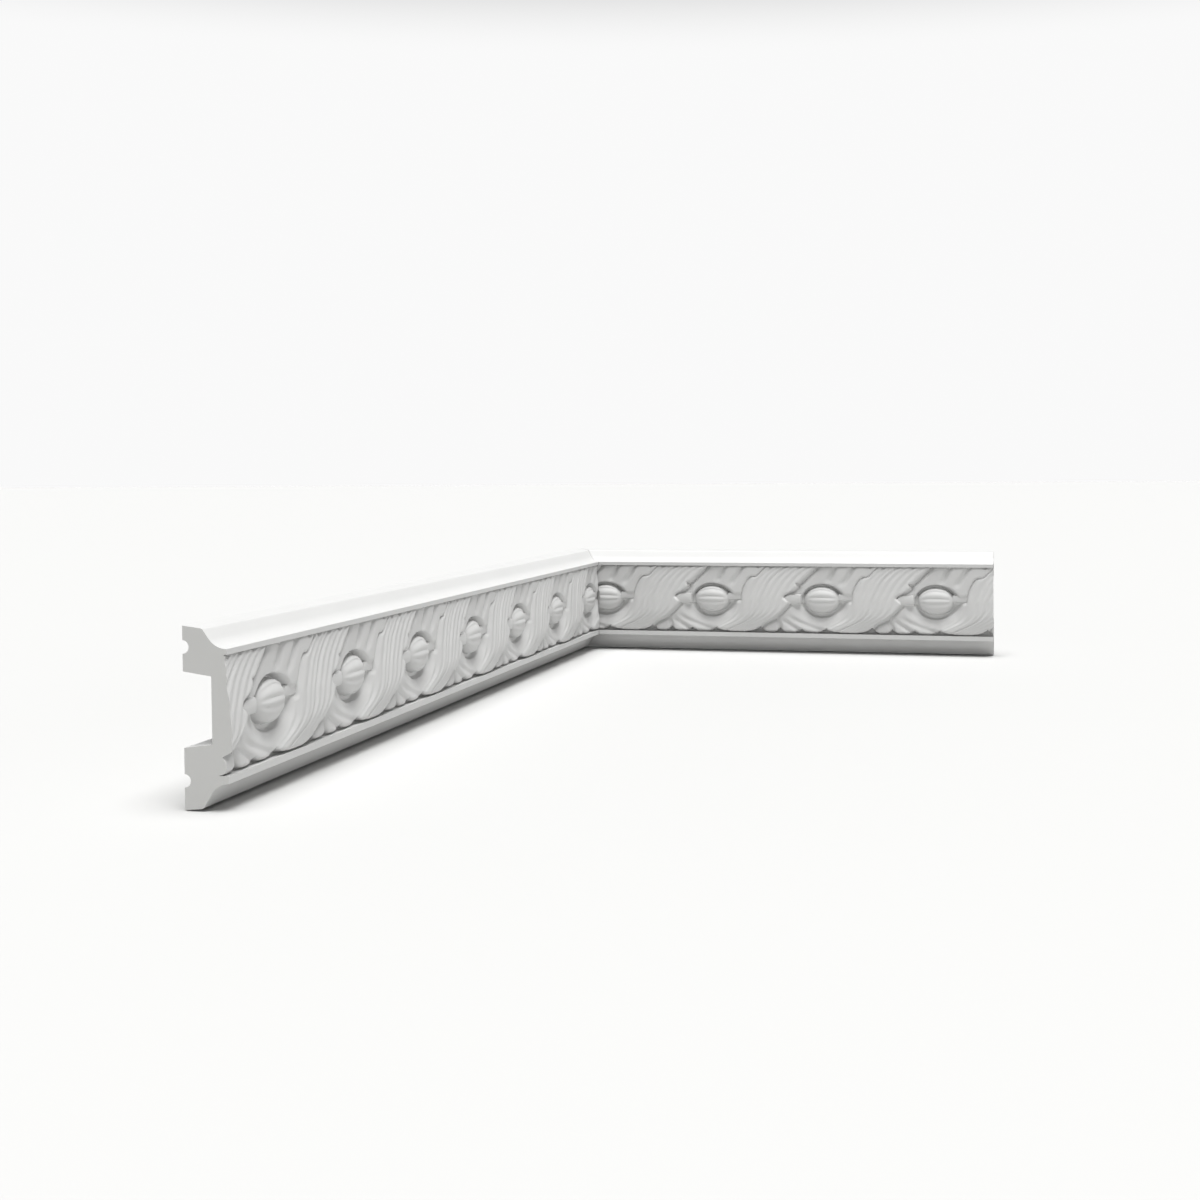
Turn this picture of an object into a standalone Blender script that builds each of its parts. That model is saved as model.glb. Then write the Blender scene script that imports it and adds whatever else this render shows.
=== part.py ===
"""Carved wall moulding: two lengths, mitred where the run turns a room's inside corner.

The origin is the corner of the room at the moulding's bottom edge. The left length lies against
the wall x = 0 and runs towards -Y; the right length lies against the wall y = 0 and runs towards
+X. Every size below is in millimetres and becomes metres where a mesh is made.
"""
import math

import bmesh
import bpy
import numpy as np
from mathutils import Matrix

MM = 0.001

# Driving dimensions of the run
HEIGHT = 90.0
LEFT_RUN = 682.0
RIGHT_RUN = 372.0
JOINT_GAP = 0.3

# Section, as depths off the wall and heights above the bottom edge
LIP_DEPTH = 23.6
TOP_FLAT = 9.1
TOP_FALL = 1.1
TOP_LIP = (76.2, 79.0)
BOTTOM_FLAT = 8.3
BOTTOM_RISE = 0.8
BOTTOM_LIP = (13.6, 17.4)
OGEE_ROLL = 2.5
TOP_OGEE_ANGLE = 54.0
BOTTOM_OGEE_ANGLE = 58.0
ARC_STEP = 14.0
PANEL_DEPTH = 16.2

# Back: a cable channel between two half-round glue grooves
CHANNEL_DEPTH = 15.2
CHANNEL_BACK = (30.4, 67.7)
CHANNEL_FRONT = (32.5, 65.6)
GROOVE_HEIGHTS = (14.3, 79.6)
GROOVE_RADIUS = 3.3
GROOVE_SIDES = 8

# Pattern: one repeat, and where its buds fall on each length
PITCH = 98.0
LEFT_FIRST_BUD = 46.4
RIGHT_FIRST_BUD = 28.7
PANEL_FLOOR = 16.5
RELIEF_BACK = 15.8
RELIEF_EDGE = 1.4
GRID_STEP = 0.9
REPEAT_TRIANGLES = 640
MERGE = 0.001

# Blanks that the lengths are cut to, reaching past the section in front and behind
BLANK_FRONT = 2.0 * LIP_DEPTH
BLANK_BEHIND = -5.0

# White primer, as linear colour and roughness
PRIMER_COLOUR = (0.84, 0.84, 0.83, 1.0)
PRIMER_ROUGHNESS = 0.6

# Bud with five ribs and a collar at its right end, on a stem
BUD_CENTRE = (1.1, 46.7)
BUD_HALF = (15.5, 11.6)
BUD_BASE = 17.2
BUD_CROWN = 7.9
BUD_ROUNDNESS = 0.33
RIB_BOUNDS = (-1.0, -0.79, -0.21, 0.19, 0.75, 1.0)
RIB_SWELL = 0.75
RIB_FADE = (0.95, 0.55)
COLLAR = (0.84, 0.05, 0.5)
CALYX = {"from": -35.0, "to": -17.2, "centre": 47.4, "half": 4.3, "height": 23.7, "point": 8.0}
STUB = {"from": 15.5, "to": 27.6, "centre": 49.2, "half": 3.2, "height": 21.9, "point": 0.1}
STEM_CROWN = 0.04
STEM_SIDE = (-0.6, 0.9)
STEM_DROP = 5.0
FILLET = 0.8
LAP_FILLET = 1.2

# Hollow around the bud: steep on its left, above and below, and a gentle slope on its right
HOLLOW_CENTRE = (0.9, 46.0)
HOLLOW_HALF = (18.4, 15.4)
HOLLOW_RIGHT = 22.5
HOLLOW_FLOOR = 16.7
HOLLOW_WALL = 0.1
HOLLOW_SLOPE = 0.3

# Sheets: the dish below the bud, the petals above it, and the big leaf that laps over the next repeat
DISH_RIM = 19.4
DISH_BROW = 22.4
DISH_WIDTH = 9.0
PETAL_HEIGHTS = (21.8, 23.0)
PETAL_RISE = (-8.0, 26.0)
PETAL_FOOT = (47.0, 53.0)
LEAF_FOOT = 21.3
LEAF_CREST = ((16.0, 23.4), (22.5, 24.1), (34.0, 25.5), (45.0, 25.1), (56.0, 24.1), (67.5, 23.1),
              (77.5, 22.5))
LEAF_LEFT = ((18.0, -2.0), (21.6, 5.5), (28.0, 18.0), (33.3, 23.4), (39.6, 25.6), (47.7, 27.0),
             (54.0, 29.7), (63.0, 33.3), (72.0, 41.4), (79.0, 48.6))
LEAF_RIGHT = ((18.0, 32.4), (21.6, 37.8), (26.0, 47.7), (33.3, 61.2), (39.6, 67.5), (47.7, 71.0),
              (54.0, 74.7), (63.0, 81.0), (72.0, 90.0), (79.0, 98.0))
LEAF_RISE = (-0.3, 0.4)
LEAF_FULLNESS = 0.8
LEAF_SIDE = -8.0
FLUTE_BOUNDS = (-0.12, 0.0, 0.2, 0.31, 0.42, 0.56, 0.7, 0.85, 1.0)
FLUTE_SWELL = 0.078
FLUTE_SOFTNESS = 1.6
VEIN = (0.42, 1.5, 0.4)

# The leaf's toothed right edge and its left margin, top to bottom
TOOTHED_EDGE = ((3.5, 84.0), (-0.9, 79.2), (-9.0, 70.2), (-18.0, 62.0), (-21.6, 61.4), (-20.5, 57.6),
                (-26.1, 54.0), (-32.4, 49.5), (-28.4, 44.1), (-32.4, 38.7), (-39.6, 32.4), (-44.1, 29.2),
                (-49.5, 26.3), (-52.8, 21.5), (-53.5, 14.0))
MARGIN = ((52.2, 79.2), (45.0, 71.1), (41.0, 67.3), (35.1, 66.3), (30.6, 59.9), (27.9, 52.2), (27.0, 44.1),
          (24.7, 36.9), (19.8, 31.5), (11.5, 27.0), (5.5, 22.5), (3.5, 16.0))
EDGE_WALL_SLOPE = 1.9
EDGE_GROOVE = (3.6, 2.4)
TIE = 1e-6
EDGE_ROLL = 1.6
MARGIN_ROLL = 1.8
MARGIN_SOFT = 0.6
MARGIN_BLEND = (43.0, 50.0)

# Valleys between the petals and between the lower lobes, as (line, width, depth)
VALLEYS = (
    (((3.6, 60.5), (8.6, 67.4), (12.6, 77.5)), 2.3, 1.9),
    (((15.3, 57.6), (22.0, 64.8), (29.0, 77.5)), 2.3, 1.9),
    (((-40.5, 33.0), (-36.9, 27.0), (-35.0, 18.0)), 1.8, 1.9),
    (((-38.7, 33.2), (-29.7, 26.4), (-16.6, 18.0)), 1.9, 1.5),
    (((-33.3, 34.2), (-18.0, 26.8), (4.5, 18.6)), 2.0, 1.2),
)
VALLEY_START = 0.35

# Lobes at the top and bottom of the pattern: notches between them, and where they reach
TOP_NOTCHES = ((-4.0, 75.4), (12.6, 74.9), (29.0, 74.9), (43.0, 75.1), (54.5, 75.1), (67.0, 75.1),
               (80.0, 75.2), (94.0, 75.4))
TOP_REACH = 76.4
TOP_ROLL = 1.7
TOP_FLOOR = 20.9
BOTTOM_NOTCHES = ((-53.0, 23.0), (-36.0, 21.4), (-17.0, 20.6), (4.5, 21.2), (45.0, 23.0))
BOTTOM_REACH = 18.0
BOTTOM_ROLL = 2.4
LOBE_ROUNDNESS = 3.6
SILL_COVE = (2.0, 0.6)


def eased(low, high, value):
    """0 below low, 1 above high, and a smooth S between them."""
    t = np.clip((value - low) / (high - low), 0.0, 1.0)
    return t * t * (3.0 - 2.0 * t)


def rolled(distance, radius):
    """The drop of a rounded edge: the whole radius at the edge and nothing further in."""
    x = np.clip(1.0 - distance / radius, 0.0, 1.0)
    return radius * (1.0 - np.sqrt(1.0 - x ** 2))


def filleted(a, b, fillet):
    """The higher of two heights, with a fillet where they cross."""
    overlap = np.maximum(fillet - np.abs(a - b), 0.0) / fillet
    return np.maximum(a, b) + overlap ** 2 * fillet / 4.0


def smooth_curve(points, steps=8):
    """A Catmull-Rom curve through a few points."""
    p = np.array(points, dtype=float)
    p = np.vstack([2.0 * p[0] - p[1], p, 2.0 * p[-1] - p[-2]])
    t = (np.arange(steps) / steps)[:, None]
    runs = []
    for a, b, c, d in zip(p[:-3], p[1:-2], p[2:-1], p[3:]):
        runs.append(b + 0.5 * (t * (c - a) + t ** 2 * (2.0 * a - 5.0 * b + 4.0 * c - d)
                               + t ** 3 * (3.0 * b - a - 3.0 * c + d)))
    return np.vstack(runs + [p[-2]])


def distance_to(u, v, line):
    """Signed distance to a line, positive on the +u side of one that runs down, and the share run."""
    nearest = np.full(u.shape, np.inf)
    squarest = np.zeros(u.shape)
    side = np.ones(u.shape)
    share = np.zeros(u.shape)
    steps = np.diff(line, axis=0)
    lengths = np.hypot(steps[:, 0], steps[:, 1])
    run = 0.0
    for start, step, length in zip(line[:-1], steps, lengths):
        t = np.clip(((u - start[0]) * step[0] + (v - start[1]) * step[1]) / length ** 2, 0.0, 1.0)
        du = u - start[0] - t * step[0]
        dv = v - start[1] - t * step[1]
        distance = np.hypot(du, dv)
        cross = (step[0] * dv - step[1] * du) / length
        tie = np.abs(distance - nearest) < TIE
        closer = np.where(tie, np.abs(cross) > squarest, distance < nearest)
        nearest = np.where(closer, distance, nearest)
        squarest = np.where(closer, np.abs(cross), squarest)
        side = np.where(closer, np.where(cross > 0.0, 1.0, -1.0), side)
        share = np.where(closer, run + t * length, share)
        run += length
    return nearest * side, share / run


def along_guide(guide, v):
    """A value given at a few heights, read at height v."""
    curve = smooth_curve(guide)
    return np.interp(v, curve[:, 0], curve[:, 1])


def lobed_edge(u, notches, reach):
    """The outline of a row of lobes: it reaches furthest mid-lobe and draws back at each notch."""
    edge = np.full(u.shape, reach)
    for (start, start_level), (end, end_level) in zip(notches[:-1], notches[1:]):
        x = (u - start) / (end - start)
        level = np.where(x < 0.5, start_level, end_level)
        lobe = reach + (level - reach) * np.abs(2.0 * x - 1.0) ** LOBE_ROUNDNESS
        edge = np.where((x >= 0.0) & (x < 1.0), lobe, edge)
    return edge


def swelling(x, bounds):
    """A row of ridges between bounds, as (share of each ridge's full swell, its width)."""
    swell = np.zeros(x.shape)
    width = np.zeros(x.shape)
    for start, end in zip(bounds[:-1], bounds[1:]):
        inside = (x >= start) & (x < end)
        swell = np.where(inside, np.sin(np.pi * (x - start) / (end - start)), swell)
        width = np.where(inside, end - start, width)
    return swell, width


def big_leaf(u, v, margin):
    """The fluted leaf: it rises from its left margin and rolls forward between top and bottom."""
    left = along_guide(LEAF_LEFT, v)
    wide = along_guide(LEAF_RIGHT, v) - left
    across = (u - left) / wide
    crest = along_guide(LEAF_CREST, v)
    height = LEAF_FOOT + (crest - LEAF_FOOT) * eased(*LEAF_RISE, across) ** LEAF_FULLNESS
    swell, share = swelling(across, FLUTE_BOUNDS)
    height = height + FLUTE_SWELL * share * wide * swell ** FLUTE_SOFTNESS
    place, width, depth = VEIN
    height = height - depth * np.exp(-((across - place) * wide / width) ** 2)
    drop = rolled(np.maximum(margin, 0.0), MARGIN_ROLL)
    return height - drop * eased(*MARGIN_BLEND, v)


def sheets(u, v, edge, margin):
    """The dish below the bud and the petals above it, with the hollow sunk into both."""
    from_centre = u - HOLLOW_CENTRE[0]
    half = np.where(from_centre > 0.0, HOLLOW_RIGHT, HOLLOW_HALF[0])
    ring = np.hypot(from_centre / half, (v - HOLLOW_CENTRE[1]) / HOLLOW_HALF[1])
    dish = DISH_RIM + (DISH_BROW - DISH_RIM) * eased(0.0, DISH_WIDTH / HOLLOW_HALF[1], ring - 1.0)
    leaf_side = big_leaf(u, v, margin)
    dish = dish + (leaf_side - dish) * eased(LEAF_SIDE, 0.0, margin) * (1.0 - eased(*MARGIN_BLEND, v))
    petals = PETAL_HEIGHTS[0] + (PETAL_HEIGHTS[1] - PETAL_HEIGHTS[0]) * eased(*PETAL_RISE, u)
    height = dish + (petals - dish) * eased(*PETAL_FOOT, v)
    for line, width, depth in VALLEYS:
        distance, share = distance_to(u, v, smooth_curve(line))
        height = height - depth * eased(0.0, VALLEY_START, share) * np.exp(-(distance / width) ** 2)
    height = height - rolled(np.maximum(-margin, 0.0), MARGIN_ROLL) * eased(*MARGIN_BLEND, v)
    height = height - EDGE_GROOVE[0] * np.exp(-(edge / EDGE_GROOVE[1]) ** 2)
    slope = HOLLOW_WALL + (HOLLOW_SLOPE - HOLLOW_WALL) * eased(0.0, 1.0, from_centre / HOLLOW_RIGHT)
    return HOLLOW_FLOOR + (height - HOLLOW_FLOOR) * eased(-1.0, 0.0, (ring - 1.0) / slope)


def tab(u, v, shape):
    """One end of the stem: a slightly crowned band with soft sides, pointed or square."""
    half = shape["half"] * eased(0.0, shape["point"], u - shape["from"])
    off = np.abs(v - shape["centre"])
    height = shape["height"] - STEM_CROWN * off ** 2 - STEM_DROP * eased(*STEM_SIDE, off - half)
    height = height - STEM_DROP * eased(*STEM_SIDE, u - shape["to"])
    return np.where(u > shape["from"], height, 0.0)


def bud(u, v):
    """A ribbed bud lying along the run: its ribs meet at the two ends."""
    x = (u - BUD_CENTRE[0]) / BUD_HALF[0]
    y = (v - BUD_CENTRE[1]) / BUD_HALF[1]
    inside = 1.0 - x ** 2 - y ** 2
    height = BUD_BASE + BUD_CROWN * np.maximum(inside, 0.0) ** BUD_ROUNDNESS
    span = np.sqrt(np.maximum(1.0 - x ** 2, 1e-6))
    swell = swelling(y / span, RIB_BOUNDS)[0]
    height = height + RIB_SWELL * (swell - 0.6) * eased(RIB_FADE[0], RIB_FADE[1], np.abs(x))
    place, width, depth = COLLAR
    bent = x / np.sqrt(np.maximum(1.0 - 0.5 * y ** 2, 0.1))
    height = height - depth * np.exp(-((bent - place) / width) ** 2)
    return np.where(inside > 0.0, height, 0.0)


def relief_height(u, v):
    """Depth off the wall of the carved panel, u along the run from a bud's centre and v up."""
    toothed = smooth_curve(TOOTHED_EDGE)
    u = (u + PITCH / 2.0) % PITCH - PITCH / 2.0
    u = np.where(distance_to(u, v, toothed)[0] < 0.0, u + PITCH, u)
    u = np.where(distance_to(u, v, toothed + [PITCH, 0.0])[0] > 0.0, u - PITCH, u)
    own_edge = distance_to(u, v, toothed)[0]
    next_edge = distance_to(u, v, toothed + [PITCH, 0.0])[0]
    margin = distance_to(u, v, smooth_curve(MARGIN))[0]

    leaf = big_leaf(u, v, margin) - rolled(np.abs(next_edge), EDGE_ROLL)
    lap = along_guide(LEAF_CREST, v) - EDGE_ROLL - EDGE_WALL_SLOPE * np.maximum(own_edge, 0.0)
    stem = np.maximum(tab(u, v, CALYX), tab(u, v, STUB))
    inner = filleted(sheets(u, v, own_edge, margin), stem, FILLET)
    inner = filleted(filleted(inner, bud(u, v), FILLET), lap, LAP_FILLET)
    height = inner + (leaf - inner) * eased(-MARGIN_SOFT, MARGIN_SOFT, margin)

    above = v - lobed_edge(u, BOTTOM_NOTCHES, BOTTOM_REACH)
    below = lobed_edge(u, TOP_NOTCHES, TOP_REACH) - v
    height = height - rolled(np.maximum(above, 0.0), BOTTOM_ROLL)
    height = height - rolled(np.maximum(below, 0.0), TOP_ROLL)
    cove = PANEL_FLOOR + SILL_COVE[0] * np.exp(-np.maximum(v - BOTTOM_LIP[1], 0.0) / SILL_COVE[1])
    height = np.where(above > 0.0, height, cove)
    height = np.where(below > 0.0, height, TOP_FLOOR)
    return np.maximum(height, PANEL_FLOOR)


def ogee(start, end, angle, side):
    """An S from a flat's end to a lip: a small roll, a straight fall and a wide cove.

    side is -1 where the curve goes down towards the lip and +1 where it goes up.
    """
    sine = math.sin(math.radians(angle))
    cosine = math.cos(math.radians(angle))
    along = end[0] - start[0] - OGEE_ROLL * sine
    across = abs(end[1] - start[1]) - OGEE_ROLL * (1.0 - cosine)
    spread = sine ** 2 - cosine * (1.0 - cosine)
    cove = (along * sine - cosine * across) / spread
    steps = math.ceil(angle / ARC_STEP)
    turns = [math.radians(angle * i / steps) for i in range(steps + 1)]
    roll = [(start[0] + OGEE_ROLL * math.sin(a), start[1] + side * OGEE_ROLL * (1.0 - math.cos(a)))
            for a in turns]
    hollow = [(end[0] - cove * math.sin(a), end[1] - side * cove * (1.0 - math.cos(a)))
              for a in reversed(turns)]
    return roll + hollow


def half_round(height):
    """A glue groove, as points up the back."""
    angles = [math.pi * (i / GROOVE_SIDES - 0.5) for i in range(GROOVE_SIDES + 1)]
    return [(GROOVE_RADIUS * math.cos(a), height + GROOVE_RADIUS * math.sin(a)) for a in angles]


def section():
    """The closed outline of the cut end, without the pattern, as (depth, height) points."""
    back = [(0.0, 0.0)] + half_round(GROOVE_HEIGHTS[0])
    back += [(0.0, CHANNEL_BACK[0]), (CHANNEL_DEPTH, CHANNEL_FRONT[0])]
    back += [(CHANNEL_DEPTH, CHANNEL_FRONT[1]), (0.0, CHANNEL_BACK[1])]
    back += half_round(GROOVE_HEIGHTS[1]) + [(0.0, HEIGHT)]
    top = ogee((TOP_FLAT, HEIGHT - TOP_FALL), (LIP_DEPTH, TOP_LIP[1]), TOP_OGEE_ANGLE, -1)
    panel = [(LIP_DEPTH, TOP_LIP[0]), (PANEL_DEPTH, TOP_LIP[0])]
    panel += [(PANEL_DEPTH, BOTTOM_LIP[1]), (LIP_DEPTH, BOTTOM_LIP[1])]
    bottom = ogee((BOTTOM_FLAT, BOTTOM_RISE), (LIP_DEPTH, BOTTOM_LIP[0]), BOTTOM_OGEE_ANGLE, 1)
    return back + top + panel + bottom[::-1]


def remove_all_objects():
    for item in list(bpy.data.objects):
        bpy.data.objects.remove(item, do_unlink=True)


def new_collection(name):
    collection = bpy.data.collections.new(name)
    bpy.context.scene.collection.children.link(collection)
    return collection


def add_object(name, mesh, collection):
    item = bpy.data.objects.new(name, mesh)
    collection.objects.link(item)
    return item


def as_cutter(item):
    item.hide_render = True
    item.display_type = "WIRE"
    return item


def baked_mesh(item, name):
    """The evaluated mesh of an object, with its doubles merged, its place applied and the object gone."""
    bpy.context.view_layer.update()
    evaluated = item.evaluated_get(bpy.context.evaluated_depsgraph_get())
    mesh = bpy.data.meshes.new_from_object(evaluated)
    mesh.transform(item.matrix_world)
    mesh.name = name
    bm = bmesh.new()
    bm.from_mesh(mesh)
    bmesh.ops.remove_doubles(bm, verts=bm.verts, dist=MERGE * MM)
    bmesh.ops.recalc_face_normals(bm, faces=bm.faces)
    bm.to_mesh(mesh)
    bm.free()
    bpy.data.objects.remove(item, do_unlink=True)
    return mesh


def extruded_outline(name, points, length, place, collection):
    """A flat outline in metres given a thickness, as a mesh object placed by a matrix."""
    data = bpy.data.curves.new(name, "CURVE")
    data.dimensions = "2D"
    data.fill_mode = "BOTH"
    data.extrude = length / 2.0
    spline = data.splines.new("POLY")
    spline.points.add(len(points) - 1)
    for point, (x, y) in zip(spline.points, points):
        point.co = (x, y, 0.0, 1.0)
    spline.use_cyclic_u = True
    item = add_object(name, data, collection)
    item.matrix_world = place
    return add_object(name, baked_mesh(item, name), collection)


def run_frame(wall):
    """Turns (run, depth, height) into the room's axes for the left or the right wall."""
    if wall == "left":
        rows = ((0.0, 1.0, 0.0, 0.0), (1.0, 0.0, 0.0, -LEFT_RUN * MM))
    else:
        rows = ((1.0, 0.0, 0.0, 0.0), (0.0, -1.0, 0.0, 0.0))
    return Matrix(rows + ((0.0, 0.0, 1.0, 0.0), (0.0, 0.0, 0.0, 1.0)))


def plain_body(name, wall, length, collection):
    """The moulding without its pattern: the section drawn out past both ends of the run."""
    points = [(depth * MM, height * MM) for depth, height in section()]
    overrun = 2.0 * LIP_DEPTH
    stand = Matrix(((0.0, 0.0, 1.0, length / 2.0 * MM), (1.0, 0.0, 0.0, 0.0), (0.0, 1.0, 0.0, 0.0),
                    (0.0, 0.0, 0.0, 1.0)))
    return extruded_outline(name, points, (length + overrun) * MM, run_frame(wall) @ stand, collection)


def carved_panel(name, wall, length, first_bud, collection):
    """The pattern as a closed slab: a grid raised by the relief, with few faces where it is flat."""
    over = LIP_DEPTH / 2.0
    low = BOTTOM_LIP[1] - RELIEF_EDGE
    high = TOP_LIP[0] + RELIEF_EDGE
    columns = round((length + 2.0 * over) / GRID_STEP)
    rows = round((high - low) / GRID_STEP)
    bm = bmesh.new()
    bmesh.ops.create_grid(bm, x_segments=columns, y_segments=rows, size=0.5)
    grid = np.array([vert.co for vert in bm.verts])
    run = (grid[:, 0] + 0.5) * (length + 2.0 * over) - over
    up = low + (grid[:, 1] + 0.5) * (high - low)
    depth = relief_height(run - first_bud, up)
    for vert, place in zip(bm.verts, np.stack([run, depth, up], axis=1) * MM):
        vert.co = place
    bm.transform(run_frame(wall))
    bmesh.ops.recalc_face_normals(bm, faces=bm.faces)
    mesh = bpy.data.meshes.new(name)
    bm.to_mesh(mesh)
    bm.free()

    sheet = add_object(name, mesh, collection)
    reduce_faces = sheet.modifiers.new("reduce_faces", "DECIMATE")
    reduce_faces.ratio = REPEAT_TRIANGLES * length / PITCH / (2.0 * columns * rows)
    mesh = baked_mesh(sheet, name)
    close_behind(mesh, wall)
    return as_cutter(add_object(name, mesh, collection))


def close_behind(mesh, wall):
    """Turns the raised sheet into a slab with a flat back inside the moulding's body."""
    axis = 0 if wall == "left" else 1
    sign = 1.0 if wall == "left" else -1.0
    bm = bmesh.new()
    bm.from_mesh(mesh)
    rim = [edge for edge in bm.edges if edge.is_boundary]
    sides = bmesh.ops.extrude_edge_only(bm, edges=rim)["geom"]
    for vert in sides:
        if isinstance(vert, bmesh.types.BMVert):
            vert.co[axis] = sign * RELIEF_BACK * MM
    back = [edge for edge in sides if isinstance(edge, bmesh.types.BMEdge) and edge.is_boundary]
    bmesh.ops.contextual_create(bm, geom=back)
    bmesh.ops.recalc_face_normals(bm, faces=bm.faces)
    bm.to_mesh(mesh)
    bm.free()


def blank(name, wall, length, collection):
    """The plan of one length, mitred at the corner and square at its other end, as a block."""
    set_back = JOINT_GAP * math.sqrt(0.5)
    if wall == "left":
        corner = length - set_back
        mitre = [(corner - BLANK_BEHIND, BLANK_BEHIND), (corner - BLANK_FRONT, BLANK_FRONT)]
        plan = [(0.0, BLANK_BEHIND)] + mitre + [(0.0, BLANK_FRONT)]
    else:
        mitre = [(set_back + BLANK_FRONT, BLANK_FRONT), (set_back + BLANK_BEHIND, BLANK_BEHIND)]
        plan = [(length, BLANK_FRONT)] + mitre + [(length, BLANK_BEHIND)]
    points = [(run * MM, depth * MM) for run, depth in plan]
    tall = 2.0 * HEIGHT * MM
    return as_cutter(extruded_outline(name, points, tall, run_frame(wall), collection))


def add_boolean(item, operation, other):
    modifier = item.modifiers.new(other.name, "BOOLEAN")
    modifier.operation = operation
    modifier.solver = "EXACT"
    modifier.object = other


def primed_foam():
    material = bpy.data.materials.new("primed_foam")
    material.use_nodes = True
    shader = material.node_tree.nodes["Principled BSDF"]
    shader.inputs["Base Color"].default_value = PRIMER_COLOUR
    shader.inputs["Roughness"].default_value = PRIMER_ROUGHNESS
    shader.inputs["Metallic"].default_value = 0.0
    return material


def build_length(name, wall, length, first_bud, parts, cutters, material):
    """One cast length: body and pattern joined, then cut to its plan."""
    item = plain_body(name, wall, length, parts)
    add_boolean(item, "UNION", carved_panel(name + "_pattern", wall, length, first_bud, cutters))
    add_boolean(item, "INTERSECT", blank(name + "_blank", wall, length, cutters))
    item.data.materials.append(material)
    return item


def main():
    remove_all_objects()
    parts = new_collection("wall_moulding")
    cutters = new_collection("cutters")
    material = primed_foam()
    build_length("left_length", "left", LEFT_RUN, LEFT_FIRST_BUD, parts, cutters, material)
    build_length("right_length", "right", RIGHT_RUN, RIGHT_FIRST_BUD, parts, cutters, material)


main()
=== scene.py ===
"""The looks of a carved wall moulding in primed polyurethane, mitred round a room's inside corner.

Every size is in millimetres off the wall, up from the moulding's bottom edge or along its run, and
becomes metres where a mesh is made. The places of the two lengths come from the frame.
"""
import math

import bmesh
import bpy
import numpy as np
from mathutils import Matrix, Vector


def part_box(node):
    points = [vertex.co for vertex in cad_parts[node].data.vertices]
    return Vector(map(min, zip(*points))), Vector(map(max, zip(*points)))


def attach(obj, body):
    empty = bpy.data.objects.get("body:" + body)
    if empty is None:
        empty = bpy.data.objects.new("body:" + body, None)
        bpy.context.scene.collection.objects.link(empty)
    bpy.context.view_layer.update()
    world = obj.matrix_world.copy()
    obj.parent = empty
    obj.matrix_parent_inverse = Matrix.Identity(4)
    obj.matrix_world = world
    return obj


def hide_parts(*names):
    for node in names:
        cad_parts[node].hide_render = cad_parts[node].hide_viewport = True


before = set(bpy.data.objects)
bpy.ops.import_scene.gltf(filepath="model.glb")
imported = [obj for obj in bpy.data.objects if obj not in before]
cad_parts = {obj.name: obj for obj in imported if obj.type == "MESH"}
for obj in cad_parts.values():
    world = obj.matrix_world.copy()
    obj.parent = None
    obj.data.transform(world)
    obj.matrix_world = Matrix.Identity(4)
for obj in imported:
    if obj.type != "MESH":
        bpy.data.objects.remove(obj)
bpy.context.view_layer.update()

MM = 0.001

# The run, read from the frame: the section's height and how far each length goes from the corner
LEFT_LOW, LEFT_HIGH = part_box("left_length")
RIGHT_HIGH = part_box("right_length")[1]
HEIGHT = round((LEFT_HIGH[2] - LEFT_LOW[2]) / MM, 1)
LEFT_RUN = round(-LEFT_LOW[1] / MM, 1)
RIGHT_RUN = round(RIGHT_HIGH[0] / MM, 1)
JOINT_GAP = 0.3

# Section, as depths off the wall and heights above the bottom edge
LIP_DEPTH = 23.6
TOP_FLAT = 9.1
TOP_FALL = 1.1
TOP_LIP = (76.2, 79.0)
BOTTOM_FLAT = 8.3
BOTTOM_RISE = 0.8
BOTTOM_LIP = (13.6, 17.4)
OGEE_ROLL = 2.5
TOP_OGEE_ANGLE = 54.0
BOTTOM_OGEE_ANGLE = 58.0
ARC_STEP = 3.0
PANEL_DEPTH = 16.2

# Back: a cable channel between two half-round glue grooves
CHANNEL_DEPTH = 15.2
CHANNEL_BACK = (30.4, 67.7)
CHANNEL_FRONT = (32.5, 65.6)
GROOVE_HEIGHTS = (14.3, 79.6)
GROOVE_RADIUS = 3.3
GROOVE_SIDES = 24

# Pattern: one repeat, and where its buds fall on each length
PITCH = 98.0
LEFT_FIRST_BUD = 46.4
RIGHT_FIRST_BUD = 28.7
PANEL_FLOOR = 16.5
RELIEF_BACK = 15.8
RELIEF_EDGE = 1.4
GRID_STEP = 0.72

# Cut ends: how near the plane a point counts as on it, and the material slot of sawn foam
CUT_TOLERANCE = 0.0001
SAWN_SLOT = 1

# Shading: edges that turn by more degrees than this stay sharp
SHARP_ANGLE = 35.0

# Bud with five ribs and a collar at its right end, on a stem. ROOT_FLOOR keeps its roots off zero
BUD_CENTRE = (1.1, 46.7)
BUD_HALF = (15.5, 11.6)
BUD_BASE = 17.2
BUD_CROWN = 7.9
BUD_ROUNDNESS = 0.33
RIB_BOUNDS = (-1.0, -0.79, -0.21, 0.19, 0.75, 1.0)
RIB_SWELL = 0.75
RIB_LEVEL = 0.6
RIB_FADE = (0.95, 0.55)
COLLAR = (0.84, 0.05, 0.5)
COLLAR_BEND = 0.5
ROOT_FLOOR = 1e-6
CALYX = {"from": -35.0, "to": -17.2, "centre": 47.4, "half": 4.3, "height": 23.7, "point": 8.0}
STUB = {"from": 15.5, "to": 27.6, "centre": 49.2, "half": 3.2, "height": 21.9, "point": 0.1}
STEM_CROWN = 0.04
STEM_SIDE = (-0.6, 0.9)
STEM_DROP = 5.0

# Fillets round the stem and the bud, and along the leaf that laps over them
FILLET = 0.8
LAP_FILLET = 1.2

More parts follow.
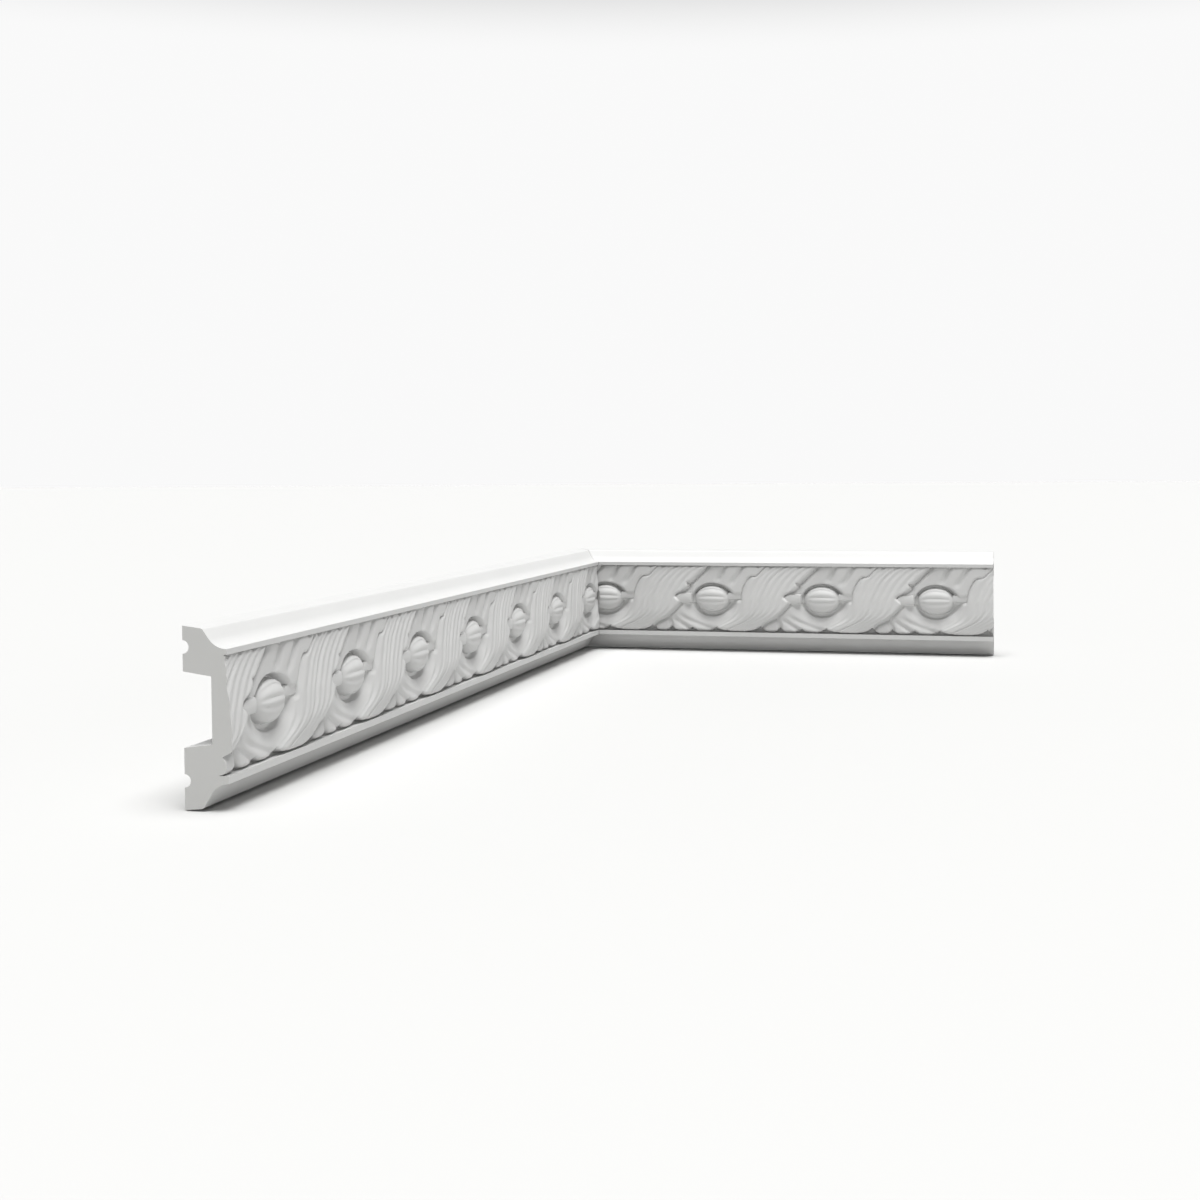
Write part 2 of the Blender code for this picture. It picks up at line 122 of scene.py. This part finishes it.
# Hollow around the bud: steep on its left, above and below, and a gentle slope on its right
HOLLOW_CENTRE = (0.9, 46.0)
HOLLOW_HALF = (18.4, 15.4)
HOLLOW_RIGHT = 22.5
HOLLOW_FLOOR = 16.7
HOLLOW_WALL = 0.1
HOLLOW_SLOPE = 0.3

# Sheets: the dish below the bud, the petals above it, and the big leaf that laps over the next repeat
DISH_RIM = 19.4
DISH_BROW = 22.4
DISH_WIDTH = 9.0
PETAL_HEIGHTS = (21.8, 23.0)
PETAL_RISE = (-8.0, 26.0)
PETAL_FOOT = (47.0, 53.0)
LEAF_FOOT = 21.3
LEAF_CREST = ((16.0, 23.4), (22.5, 24.1), (34.0, 25.5), (45.0, 25.1), (56.0, 24.1), (67.5, 23.1),
              (77.5, 22.5))
LEAF_LEFT = ((18.0, -2.0), (21.6, 5.5), (28.0, 18.0), (33.3, 23.4), (39.6, 25.6), (47.7, 27.0),
             (54.0, 29.7), (63.0, 33.3), (72.0, 41.4), (79.0, 48.6))
LEAF_RIGHT = ((18.0, 32.4), (21.6, 37.8), (26.0, 47.7), (33.3, 61.2), (39.6, 67.5), (47.7, 71.0),
              (54.0, 74.7), (63.0, 81.0), (72.0, 90.0), (79.0, 98.0))
LEAF_RISE = (-0.3, 0.4)
LEAF_FULLNESS = 0.8
LEAF_SIDE = -8.0
FLUTE_BOUNDS = (-0.12, 0.0, 0.2, 0.31, 0.42, 0.56, 0.7, 0.85, 1.0)
FLUTE_SWELL = 0.078
FLUTE_SOFTNESS = 1.6
VEIN = (0.42, 1.5, 0.4)

# The leaf's toothed right edge and its left margin, top to bottom
TOOTHED_EDGE = ((3.5, 84.0), (-0.9, 79.2), (-9.0, 70.2), (-18.0, 62.0), (-21.6, 61.4), (-20.5, 57.6),
                (-26.1, 54.0), (-32.4, 49.5), (-28.4, 44.1), (-32.4, 38.7), (-39.6, 32.4), (-44.1, 29.2),
                (-49.5, 26.3), (-52.8, 21.5), (-53.5, 14.0))
MARGIN = ((52.2, 79.2), (45.0, 71.1), (41.0, 67.3), (35.1, 66.3), (30.6, 59.9), (27.9, 52.2),
          (27.0, 44.1), (24.7, 36.9), (19.8, 31.5), (11.5, 27.0), (5.5, 22.5), (3.5, 16.0))
EDGE_WALL_SLOPE = 1.9
EDGE_GROOVE = (3.6, 2.4)
TIE = 1e-6
EDGE_ROLL = 1.6
MARGIN_ROLL = 1.8
MARGIN_SOFT = 0.6
MARGIN_BLEND = (43.0, 50.0)

# Valleys between the petals and between the lower lobes, as (line, width, depth)
VALLEYS = (
    (((3.6, 60.5), (8.6, 67.4), (12.6, 77.5)), 2.3, 1.9),
    (((15.3, 57.6), (22.0, 64.8), (29.0, 77.5)), 2.3, 1.9),
    (((-40.5, 33.0), (-36.9, 27.0), (-35.0, 18.0)), 1.8, 1.9),
    (((-38.7, 33.2), (-29.7, 26.4), (-16.6, 18.0)), 1.9, 1.5),
    (((-33.3, 34.2), (-18.0, 26.8), (4.5, 18.6)), 2.0, 1.2),
)
VALLEY_START = 0.35

# Lobes at the top and bottom of the pattern: notches between them, and where they reach
TOP_NOTCHES = ((-4.0, 75.4), (12.6, 74.9), (29.0, 74.9), (43.0, 75.1), (54.5, 75.1), (67.0, 75.1),
               (80.0, 75.2), (94.0, 75.4))
TOP_REACH = 76.4
TOP_ROLL = 1.7
TOP_FLOOR = 20.9
BOTTOM_NOTCHES = ((-53.0, 23.0), (-36.0, 21.4), (-17.0, 20.6), (4.5, 21.2), (45.0, 23.0))
BOTTOM_REACH = 18.0
BOTTOM_ROLL = 2.4
LOBE_ROUNDNESS = 3.6
SILL_COVE = (2.0, 0.6)

# Finish: sRGB colours, sizes of patches, orange peel and cells, and bumps as (strength, height)
FOAM_IOR = 1.5
PRIMER_COLOURS = ("#BFBFBE", "#C4C4C3")
PRIMER_ROUGHNESS = 0.55
PATCH_SIZE = 30.0
PATCH_DETAIL = 3.0
PEEL_SIZE = 1.5
PEEL_DETAIL = 2.0
PEEL_BUMP = (0.25, 0.05)
SAWN_COLOUR = "#BABAB8"
SAWN_ROUGHNESS = 0.75
CELL_SIZE = 0.6
CELL_BUMP = (0.3, 0.05)

# The pale floor, just under the moulding: how far it reaches each way and how far down it lies
FLOOR_REACH = 12000.0
FLOOR_DROP = 0.5
FLOOR_COLOUR = "#BEBEBD"
FLOOR_ROUGHNESS = 0.9

# The camera, found by matching the moulding's edges to the photograph, in metres and degrees
FRAME_SIDE = 1200.0
FOCAL_PIXELS = 1508.6
AXIS_PIXEL = (650.0, 510.0)
CAMERA_PLACE = (0.39514, -1.33596, 0.16551)
CAMERA_YAW = 13.831
CAMERA_TILT = 1.681
CAMERA_ROLL = -0.496
SENSOR_WIDTH = 36.0

# The light: soft and from overhead, with a pale surround that darkens between two heights
OVERHEAD_FROM = (0.12, -0.14, 0.97)
OVERHEAD_SPREAD = 45.0
OVERHEAD_STRENGTH = 5.6
SURROUND_FADE = (0.26, 0.38)
SURROUND_LOW = 0.95
SURROUND_HIGH = 0.04
SURROUND_COLOUR = "#FFFFFF"


def eased(low, high, value):
    """0 below low, 1 above high, and a smooth S between them."""
    t = np.clip((value - low) / (high - low), 0.0, 1.0)
    return t * t * (3.0 - 2.0 * t)


def rolled(distance, radius):
    """The drop of a rounded edge: the whole radius at the edge and nothing further in."""
    x = np.clip(1.0 - distance / radius, 0.0, 1.0)
    return radius * (1.0 - np.sqrt(1.0 - x ** 2))


def filleted(a, b, fillet):
    """The higher of two heights, with a fillet where they cross."""
    overlap = np.maximum(fillet - np.abs(a - b), 0.0) / fillet
    return np.maximum(a, b) + overlap ** 2 * fillet / 4.0


def smooth_curve(points, steps=8):
    """A Catmull-Rom curve through a few points."""
    p = np.array(points, dtype=float)
    p = np.vstack([2.0 * p[0] - p[1], p, 2.0 * p[-1] - p[-2]])
    t = (np.arange(steps) / steps)[:, None]
    runs = []
    for a, b, c, d in zip(p[:-3], p[1:-2], p[2:-1], p[3:]):
        runs.append(b + 0.5 * (t * (c - a) + t ** 2 * (2.0 * a - 5.0 * b + 4.0 * c - d)
                               + t ** 3 * (3.0 * b - a - 3.0 * c + d)))
    return np.vstack(runs + [p[-2]])


def distance_to(u, v, line):
    """Signed distance to a line, positive on the +u side of one that runs down, and the share run."""
    nearest = np.full(u.shape, np.inf)
    squarest = np.zeros(u.shape)
    side = np.ones(u.shape)
    share = np.zeros(u.shape)
    steps = np.diff(line, axis=0)
    lengths = np.hypot(steps[:, 0], steps[:, 1])
    run = 0.0
    for start, step, length in zip(line[:-1], steps, lengths):
        t = np.clip(((u - start[0]) * step[0] + (v - start[1]) * step[1]) / length ** 2, 0.0, 1.0)
        du = u - start[0] - t * step[0]
        dv = v - start[1] - t * step[1]
        distance = np.hypot(du, dv)
        cross = (step[0] * dv - step[1] * du) / length
        tie = np.abs(distance - nearest) < TIE
        closer = np.where(tie, np.abs(cross) > squarest, distance < nearest)
        nearest = np.where(closer, distance, nearest)
        squarest = np.where(closer, np.abs(cross), squarest)
        side = np.where(closer, np.where(cross > 0.0, 1.0, -1.0), side)
        share = np.where(closer, run + t * length, share)
        run += length
    return nearest * side, share / run


def along_guide(guide, v):
    """A value given at a few heights, read at height v."""
    curve = smooth_curve(guide)
    return np.interp(v, curve[:, 0], curve[:, 1])


def lobed_edge(u, notches, reach):
    """The outline of a row of lobes: it reaches furthest mid-lobe and draws back at each notch."""
    edge = np.full(u.shape, reach)
    for (start, start_level), (end, end_level) in zip(notches[:-1], notches[1:]):
        x = (u - start) / (end - start)
        level = np.where(x < 0.5, start_level, end_level)
        lobe = reach + (level - reach) * np.abs(2.0 * x - 1.0) ** LOBE_ROUNDNESS
        edge = np.where((x >= 0.0) & (x < 1.0), lobe, edge)
    return edge


def swelling(x, bounds):
    """A row of ridges between bounds, as (share of each ridge's full swell, its width)."""
    swell = np.zeros(x.shape)
    width = np.zeros(x.shape)
    for start, end in zip(bounds[:-1], bounds[1:]):
        inside = (x >= start) & (x < end)
        swell = np.where(inside, np.sin(np.pi * (x - start) / (end - start)), swell)
        width = np.where(inside, end - start, width)
    return swell, width


def big_leaf(u, v, margin):
    """The fluted leaf: it rises from its left margin and rolls forward between top and bottom."""
    left = along_guide(LEAF_LEFT, v)
    wide = along_guide(LEAF_RIGHT, v) - left
    across = (u - left) / wide
    crest = along_guide(LEAF_CREST, v)
    height = LEAF_FOOT + (crest - LEAF_FOOT) * eased(*LEAF_RISE, across) ** LEAF_FULLNESS
    swell, share = swelling(across, FLUTE_BOUNDS)
    height = height + FLUTE_SWELL * share * wide * swell ** FLUTE_SOFTNESS
    place, width, depth = VEIN
    height = height - depth * np.exp(-((across - place) * wide / width) ** 2)
    drop = rolled(np.maximum(margin, 0.0), MARGIN_ROLL)
    return height - drop * eased(*MARGIN_BLEND, v)


def sheets(u, v, edge, margin):
    """The dish below the bud and the petals above it, with the hollow sunk into both."""
    from_centre = u - HOLLOW_CENTRE[0]
    half = np.where(from_centre > 0.0, HOLLOW_RIGHT, HOLLOW_HALF[0])
    ring = np.hypot(from_centre / half, (v - HOLLOW_CENTRE[1]) / HOLLOW_HALF[1])
    dish = DISH_RIM + (DISH_BROW - DISH_RIM) * eased(0.0, DISH_WIDTH / HOLLOW_HALF[1], ring - 1.0)
    leaf_side = big_leaf(u, v, margin)
    dish = dish + (leaf_side - dish) * eased(LEAF_SIDE, 0.0, margin) * (1.0 - eased(*MARGIN_BLEND, v))
    petals = PETAL_HEIGHTS[0] + (PETAL_HEIGHTS[1] - PETAL_HEIGHTS[0]) * eased(*PETAL_RISE, u)
    height = dish + (petals - dish) * eased(*PETAL_FOOT, v)
    for line, width, depth in VALLEYS:
        distance, share = distance_to(u, v, smooth_curve(line))
        height = height - depth * eased(0.0, VALLEY_START, share) * np.exp(-(distance / width) ** 2)
    height = height - rolled(np.maximum(-margin, 0.0), MARGIN_ROLL) * eased(*MARGIN_BLEND, v)
    height = height - EDGE_GROOVE[0] * np.exp(-(edge / EDGE_GROOVE[1]) ** 2)
    slope = HOLLOW_WALL + (HOLLOW_SLOPE - HOLLOW_WALL) * eased(0.0, 1.0, from_centre / HOLLOW_RIGHT)
    return HOLLOW_FLOOR + (height - HOLLOW_FLOOR) * eased(-1.0, 0.0, (ring - 1.0) / slope)


def tab(u, v, shape):
    """One end of the stem: a slightly crowned band with soft sides, pointed or square."""
    half = shape["half"] * eased(0.0, shape["point"], u - shape["from"])
    off = np.abs(v - shape["centre"])
    height = shape["height"] - STEM_CROWN * off ** 2 - STEM_DROP * eased(*STEM_SIDE, off - half)
    height = height - STEM_DROP * eased(*STEM_SIDE, u - shape["to"])
    return np.where(u > shape["from"], height, 0.0)


def bud(u, v):
    """A ribbed bud lying along the run: its ribs meet at the two ends."""
    x = (u - BUD_CENTRE[0]) / BUD_HALF[0]
    y = (v - BUD_CENTRE[1]) / BUD_HALF[1]
    inside = 1.0 - x ** 2 - y ** 2
    height = BUD_BASE + BUD_CROWN * np.maximum(inside, 0.0) ** BUD_ROUNDNESS
    span = np.sqrt(np.maximum(1.0 - x ** 2, ROOT_FLOOR))
    swell = swelling(y / span, RIB_BOUNDS)[0]
    height = height + RIB_SWELL * (swell - RIB_LEVEL) * eased(*RIB_FADE, np.abs(x))
    place, width, depth = COLLAR
    bent = x / np.sqrt(np.maximum(1.0 - COLLAR_BEND * y ** 2, ROOT_FLOOR))
    height = height - depth * np.exp(-((bent - place) / width) ** 2)
    return np.where(inside > 0.0, height, 0.0)


def relief_height(u, v):
    """Depth off the wall of the carved panel, u along the run from a bud's centre and v up."""
    toothed = smooth_curve(TOOTHED_EDGE)
    u = (u + PITCH / 2.0) % PITCH - PITCH / 2.0
    u = np.where(distance_to(u, v, toothed)[0] < 0.0, u + PITCH, u)
    u = np.where(distance_to(u, v, toothed + [PITCH, 0.0])[0] > 0.0, u - PITCH, u)
    own_edge = distance_to(u, v, toothed)[0]
    next_edge = distance_to(u, v, toothed + [PITCH, 0.0])[0]
    margin = distance_to(u, v, smooth_curve(MARGIN))[0]

    leaf = big_leaf(u, v, margin) - rolled(np.abs(next_edge), EDGE_ROLL)
    lap = along_guide(LEAF_CREST, v) - EDGE_ROLL - EDGE_WALL_SLOPE * np.maximum(own_edge, 0.0)
    stem = np.maximum(tab(u, v, CALYX), tab(u, v, STUB))
    inner = filleted(sheets(u, v, own_edge, margin), stem, FILLET)
    inner = filleted(filleted(inner, bud(u, v), FILLET), lap, LAP_FILLET)
    height = inner + (leaf - inner) * eased(-MARGIN_SOFT, MARGIN_SOFT, margin)

    above = v - lobed_edge(u, BOTTOM_NOTCHES, BOTTOM_REACH)
    below = lobed_edge(u, TOP_NOTCHES, TOP_REACH) - v
    height = height - rolled(np.maximum(above, 0.0), BOTTOM_ROLL)
    height = height - rolled(np.maximum(below, 0.0), TOP_ROLL)
    cove = PANEL_FLOOR + SILL_COVE[0] * np.exp(-np.maximum(v - BOTTOM_LIP[1], 0.0) / SILL_COVE[1])
    height = np.where(above > 0.0, height, cove)
    height = np.where(below > 0.0, height, TOP_FLOOR)
    return np.maximum(height, PANEL_FLOOR)


def ogee(start, end, angle, side):
    """An S from a flat's end to a lip: a small roll, a straight fall and a wide cove.

    side is -1 where the curve goes down towards the lip and +1 where it goes up.
    """
    sine = math.sin(math.radians(angle))
    cosine = math.cos(math.radians(angle))
    along = end[0] - start[0] - OGEE_ROLL * sine
    across = abs(end[1] - start[1]) - OGEE_ROLL * (1.0 - cosine)
    spread = sine ** 2 - cosine * (1.0 - cosine)
    cove = (along * sine - cosine * across) / spread
    steps = math.ceil(angle / ARC_STEP)
    turns = [math.radians(angle * i / steps) for i in range(steps + 1)]
    roll = [(start[0] + OGEE_ROLL * math.sin(a), start[1] + side * OGEE_ROLL * (1.0 - math.cos(a)))
            for a in turns]
    hollow = [(end[0] - cove * math.sin(a), end[1] - side * cove * (1.0 - math.cos(a)))
              for a in reversed(turns)]
    return roll + hollow


def half_round(height):
    """A glue groove, as points up the back."""
    angles = [math.pi * (i / GROOVE_SIDES - 0.5) for i in range(GROOVE_SIDES + 1)]
    return [(GROOVE_RADIUS * math.cos(a), height + GROOVE_RADIUS * math.sin(a)) for a in angles]


def section():
    """The closed outline of the cut end, without the pattern, as (depth, height) points."""
    back = [(0.0, 0.0)] + half_round(GROOVE_HEIGHTS[0])
    back += [(0.0, CHANNEL_BACK[0]), (CHANNEL_DEPTH, CHANNEL_FRONT[0])]
    back += [(CHANNEL_DEPTH, CHANNEL_FRONT[1]), (0.0, CHANNEL_BACK[1])]
    back += half_round(GROOVE_HEIGHTS[1]) + [(0.0, HEIGHT)]
    top = ogee((TOP_FLAT, HEIGHT - TOP_FALL), (LIP_DEPTH, TOP_LIP[1]), TOP_OGEE_ANGLE, -1)
    panel = [(LIP_DEPTH, TOP_LIP[0]), (PANEL_DEPTH, TOP_LIP[0])]
    panel += [(PANEL_DEPTH, BOTTOM_LIP[1]), (LIP_DEPTH, BOTTOM_LIP[1])]
    bottom = ogee((BOTTOM_FLAT, BOTTOM_RISE), (LIP_DEPTH, BOTTOM_LIP[0]), BOTTOM_OGEE_ANGLE, 1)
    return back + top + panel + bottom[::-1]


def run_frame(wall):
    """Turns (run, depth, height) into the room's axes for the left or the right wall."""
    if wall == "left":
        rows = ((0.0, 1.0, 0.0, 0.0), (1.0, 0.0, 0.0, -LEFT_RUN * MM))
    else:
        rows = ((1.0, 0.0, 0.0, 0.0), (0.0, -1.0, 0.0, 0.0))
    return Matrix(rows + ((0.0, 0.0, 1.0, 0.0), (0.0, 0.0, 0.0, 1.0)))


def plain_body(wall, length):
    """The moulding without its pattern: the section drawn out past both ends of the run."""
    overrun = LIP_DEPTH * MM
    bm = bmesh.new()
    corners = [bm.verts.new((-overrun, depth * MM, height * MM)) for depth, height in section()]
    face = bm.faces.new(corners)
    drawn = bmesh.ops.extrude_face_region(bm, geom=[face])["geom"]
    moved = [part for part in drawn if isinstance(part, bmesh.types.BMVert)]
    bmesh.ops.translate(bm, verts=moved, vec=(length * MM + 2.0 * overrun, 0.0, 0.0))
    bm.transform(run_frame(wall))
    bmesh.ops.recalc_face_normals(bm, faces=bm.faces)
    return as_object(bm, wall + "_body")


def carved_panel(wall, length, first_bud):
    """The pattern as a closed slab: a grid raised by the relief, with a flat back inside the body."""
    over = LIP_DEPTH / 2.0
    low = BOTTOM_LIP[1] - RELIEF_EDGE
    high = TOP_LIP[0] + RELIEF_EDGE
    columns = round((length + 2.0 * over) / GRID_STEP)
    rows = round((high - low) / GRID_STEP)
    bm = bmesh.new()
    bmesh.ops.create_grid(bm, x_segments=columns, y_segments=rows, size=0.5)
    grid = np.array([vert.co for vert in bm.verts])
    run = (grid[:, 0] + 0.5) * (length + 2.0 * over) - over
    up = low + (grid[:, 1] + 0.5) * (high - low)
    depth = relief_height(run - first_bud, up)
    for vert, place in zip(bm.verts, np.stack([run, depth, up], axis=1) * MM):
        vert.co = place
    rim = [edge for edge in bm.edges if edge.is_boundary]
    sides = bmesh.ops.extrude_edge_only(bm, edges=rim)["geom"]
    for part in sides:
        if isinstance(part, bmesh.types.BMVert):
            part.co.y = RELIEF_BACK * MM
    back = [part for part in sides if isinstance(part, bmesh.types.BMEdge) and part.is_boundary]
    bmesh.ops.contextual_create(bm, geom=back)
    bm.transform(run_frame(wall))
    bmesh.ops.recalc_face_normals(bm, faces=bm.faces)
    return as_object(bm, wall + "_panel")


def as_object(bm, name):
    """Turns a bmesh into an object of the scene."""
    mesh = bpy.data.meshes.new(name)
    bm.to_mesh(mesh)
    bm.free()
    piece = bpy.data.objects.new(name, mesh)
    bpy.context.scene.collection.objects.link(piece)
    return piece


def joined(body, panel):
    """The union of two objects as a bmesh, with the two objects gone.

    Known fault: on the right wall both objects come here inside out, and the union keeps inner faces.
    """
    modifier = body.modifiers.new("join", "BOOLEAN")
    modifier.operation = "UNION"
    modifier.solver = "MANIFOLD"
    modifier.object = panel
    bpy.context.view_layer.update()
    evaluated = body.evaluated_get(bpy.context.evaluated_depsgraph_get())
    mesh = bpy.data.meshes.new_from_object(evaluated)
    bm = bmesh.new()
    bm.from_mesh(mesh)
    bpy.data.objects.remove(body, do_unlink=True)
    bpy.data.objects.remove(panel, do_unlink=True)
    bpy.data.meshes.remove(mesh)
    return bm


def cut_flat(bm, point, outward):
    """Cuts a mesh off flat at a plane and fills the cut with sawn foam.

    Known fault: the right length is left with open edges, and its two cuts are filled only in part.
    """
    geom = bm.verts[:] + bm.edges[:] + bm.faces[:]
    cut = bmesh.ops.bisect_plane(bm, geom=geom, dist=CUT_TOLERANCE * MM, plane_co=point,
                                 plane_no=outward, clear_outer=True)["geom_cut"]
    rim = [part for part in cut if isinstance(part, bmesh.types.BMEdge) and part.is_boundary]
    for face in bmesh.ops.contextual_create(bm, geom=rim)["faces"]:
        face.material_index = SAWN_SLOT


def moulding_length(name, wall, length, first_bud, materials):
    """One cast length: body and pattern joined, cut square at its outer end, mitred at the corner."""
    bm = joined(plain_body(wall, length), carved_panel(wall, length, first_bud))
    set_back = JOINT_GAP / 2.0 * MM
    if wall == "left":
        cut_flat(bm, (0.0, -LEFT_RUN * MM, 0.0), (0.0, -1.0, 0.0))
        mitre = Vector((1.0, 1.0, 0.0)).normalized()
    else:
        cut_flat(bm, (RIGHT_RUN * MM, 0.0, 0.0), (1.0, 0.0, 0.0))
        mitre = Vector((-1.0, -1.0, 0.0)).normalized()
    cut_flat(bm, -mitre * set_back, mitre)
    bmesh.ops.triangulate(bm, faces=[face for face in bm.faces if len(face.verts) > 4])
    bmesh.ops.recalc_face_normals(bm, faces=bm.faces)
    for face in bm.faces:
        face.smooth = True
    piece = as_object(bm, name)
    piece.data.set_sharp_from_angle(angle=math.radians(SHARP_ANGLE))
    for material in materials:
        piece.data.materials.append(material)
    return piece


def linear(hex_colour):
    """An sRGB hex colour as linear RGBA."""
    values = [int(hex_colour[i:i + 2], 16) / 255.0 for i in (1, 3, 5)]
    bent = [v / 12.92 if v <= 0.04045 else ((v + 0.055) / 1.055) ** 2.4 for v in values]
    return (*bent, 1.0)


def add_node(tree, kind, settings=None, inputs=None, links=None):
    """Adds a node, sets its properties and inputs, and links other nodes' outputs into it."""
    node = tree.nodes.new(kind)
    for key, value in (settings or {}).items():
        setattr(node, key, value)
    for key, value in (inputs or {}).items():
        node.inputs[key].default_value = value
    for key, source in (links or {}).items():
        tree.links.new(source, node.inputs[key])
    return node


def primed_foam():
    """Moulded hard polyurethane with a sprayed white primer: a matte, almost even white.

    The spray leaves a faint orange peel of about 1.5 mm, and the coat is a shade thinner in patches
    of some 30 mm, which the eye reads as a soft cast finish.
    """
    material = bpy.data.materials.new("primed_polyurethane")
    material.use_nodes = True
    tree = material.node_tree
    shader = tree.nodes["Principled BSDF"]
    shader.inputs["Roughness"].default_value = PRIMER_ROUGHNESS
    shader.inputs["IOR"].default_value = FOAM_IOR
    place = add_node(tree, "ShaderNodeTexCoord").outputs["Object"]
    patches = add_node(tree, "ShaderNodeTexNoise", links={"Vector": place},
                       inputs={"Scale": 1.0 / (PATCH_SIZE * MM), "Detail": PATCH_DETAIL})
    tint = add_node(tree, "ShaderNodeMix", settings={"data_type": "RGBA"},
                    links={"Factor": patches.outputs["Fac"]})
    tint.inputs["A"].default_value = linear(PRIMER_COLOURS[0])
    tint.inputs["B"].default_value = linear(PRIMER_COLOURS[1])
    tree.links.new(tint.outputs["Result"], shader.inputs["Base Color"])
    peel = add_node(tree, "ShaderNodeTexNoise", links={"Vector": place},
                    inputs={"Scale": 1.0 / (PEEL_SIZE * MM), "Detail": PEEL_DETAIL})
    bump = add_node(tree, "ShaderNodeBump", links={"Height": peel.outputs["Fac"]},
                    inputs={"Strength": PEEL_BUMP[0], "Distance": PEEL_BUMP[1] * MM})
    tree.links.new(bump.outputs["Normal"], shader.inputs["Normal"])
    return material


def sawn_foam():
    """The same foam where a saw has cut it: even, a little rougher, and faintly pitted.

    Its closed cells are about 0.3 mm across, and are drawn at 0.6 mm so that they can show.
    """
    material = bpy.data.materials.new("sawn_polyurethane")
    material.use_nodes = True
    tree = material.node_tree
    shader = tree.nodes["Principled BSDF"]
    shader.inputs["Base Color"].default_value = linear(SAWN_COLOUR)
    shader.inputs["Roughness"].default_value = SAWN_ROUGHNESS
    shader.inputs["IOR"].default_value = FOAM_IOR
    place = add_node(tree, "ShaderNodeTexCoord").outputs["Object"]
    cells = add_node(tree, "ShaderNodeTexVoronoi", links={"Vector": place},
                     inputs={"Scale": 1.0 / (CELL_SIZE * MM)})
    bump = add_node(tree, "ShaderNodeBump", links={"Height": cells.outputs["Distance"]},
                    inputs={"Strength": CELL_BUMP[0], "Distance": CELL_BUMP[1] * MM})
    tree.links.new(bump.outputs["Normal"], shader.inputs["Normal"])
    return material


def add_camera():
    """The photograph's own view, with a small lens shift for an axis off the frame's middle."""
    data = bpy.data.cameras.new("camera")
    data.sensor_width = SENSOR_WIDTH
    data.lens = FOCAL_PIXELS / FRAME_SIDE * SENSOR_WIDTH
    data.shift_x = 0.5 - AXIS_PIXEL[0] / FRAME_SIDE
    data.shift_y = AXIS_PIXEL[1] / FRAME_SIDE - 0.5
    camera = bpy.data.objects.new("camera", data)
    bpy.context.scene.collection.objects.link(camera)
    turn = Matrix.Rotation(math.radians(CAMERA_YAW), 4, "Z")
    turn @= Matrix.Rotation(math.radians(90.0 - CAMERA_TILT), 4, "X")
    turn @= Matrix.Rotation(math.radians(CAMERA_ROLL), 4, "Z")
    camera.matrix_world = Matrix.Translation(CAMERA_PLACE) @ turn
    bpy.context.scene.camera = camera


def add_overhead_light():
    """A broad soft light from high over the corner, so far off that the floor is lit evenly."""
    data = bpy.data.lights.new("overhead", "SUN")
    data.energy = OVERHEAD_STRENGTH
    data.angle = math.radians(OVERHEAD_SPREAD)
    light = bpy.data.objects.new("overhead", data)
    bpy.context.scene.collection.objects.link(light)
    light.rotation_euler = (-Vector(OVERHEAD_FROM)).to_track_quat("-Z", "Y").to_euler()


def add_floor():
    """A wide pale floor, not part of the moulding."""
    bm = bmesh.new()
    bmesh.ops.create_grid(bm, x_segments=1, y_segments=1, size=FLOOR_REACH * MM)
    floor = as_object(bm, "floor")
    floor.location.z = -FLOOR_DROP * MM
    material = bpy.data.materials.new("pale_floor")
    material.use_nodes = True
    shader = material.node_tree.nodes["Principled BSDF"]
    shader.inputs["Base Color"].default_value = linear(FLOOR_COLOUR)
    shader.inputs["Roughness"].default_value = FLOOR_ROUGHNESS
    floor.data.materials.append(material)


def add_studio():
    """A soft light overhead, a pale surround that fades towards the zenith, and nothing else."""
    world = bpy.data.worlds.new("studio")
    bpy.context.scene.world = world
    world.use_nodes = True
    tree = world.node_tree
    direction = add_node(tree, "ShaderNodeTexCoord").outputs["Generated"]
    height = add_node(tree, "ShaderNodeSeparateXYZ", links={"Vector": direction}).outputs["Z"]
    fade = add_node(tree, "ShaderNodeMapRange", links={"Value": height},
                    settings={"interpolation_type": "SMOOTHSTEP"},
                    inputs={"From Min": SURROUND_FADE[0], "From Max": SURROUND_FADE[1],
                            "To Min": SURROUND_LOW, "To Max": SURROUND_HIGH})
    tree.links.new(fade.outputs["Result"], tree.nodes["Background"].inputs["Strength"])
    tree.nodes["Background"].inputs["Color"].default_value = linear(SURROUND_COLOUR)
    add_overhead_light()
    bpy.context.scene.view_settings.view_transform = "Standard"


def main():
    materials = [primed_foam(), sawn_foam()]
    for name, wall, length, first_bud in (("left_length", "left", LEFT_RUN, LEFT_FIRST_BUD),
                                          ("right_length", "right", RIGHT_RUN, RIGHT_FIRST_BUD)):
        piece = moulding_length("carved_" + name, wall, length, first_bud, materials)
        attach(piece, "root")
        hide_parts(name)
    add_floor()
    add_studio()
    add_camera()


main()
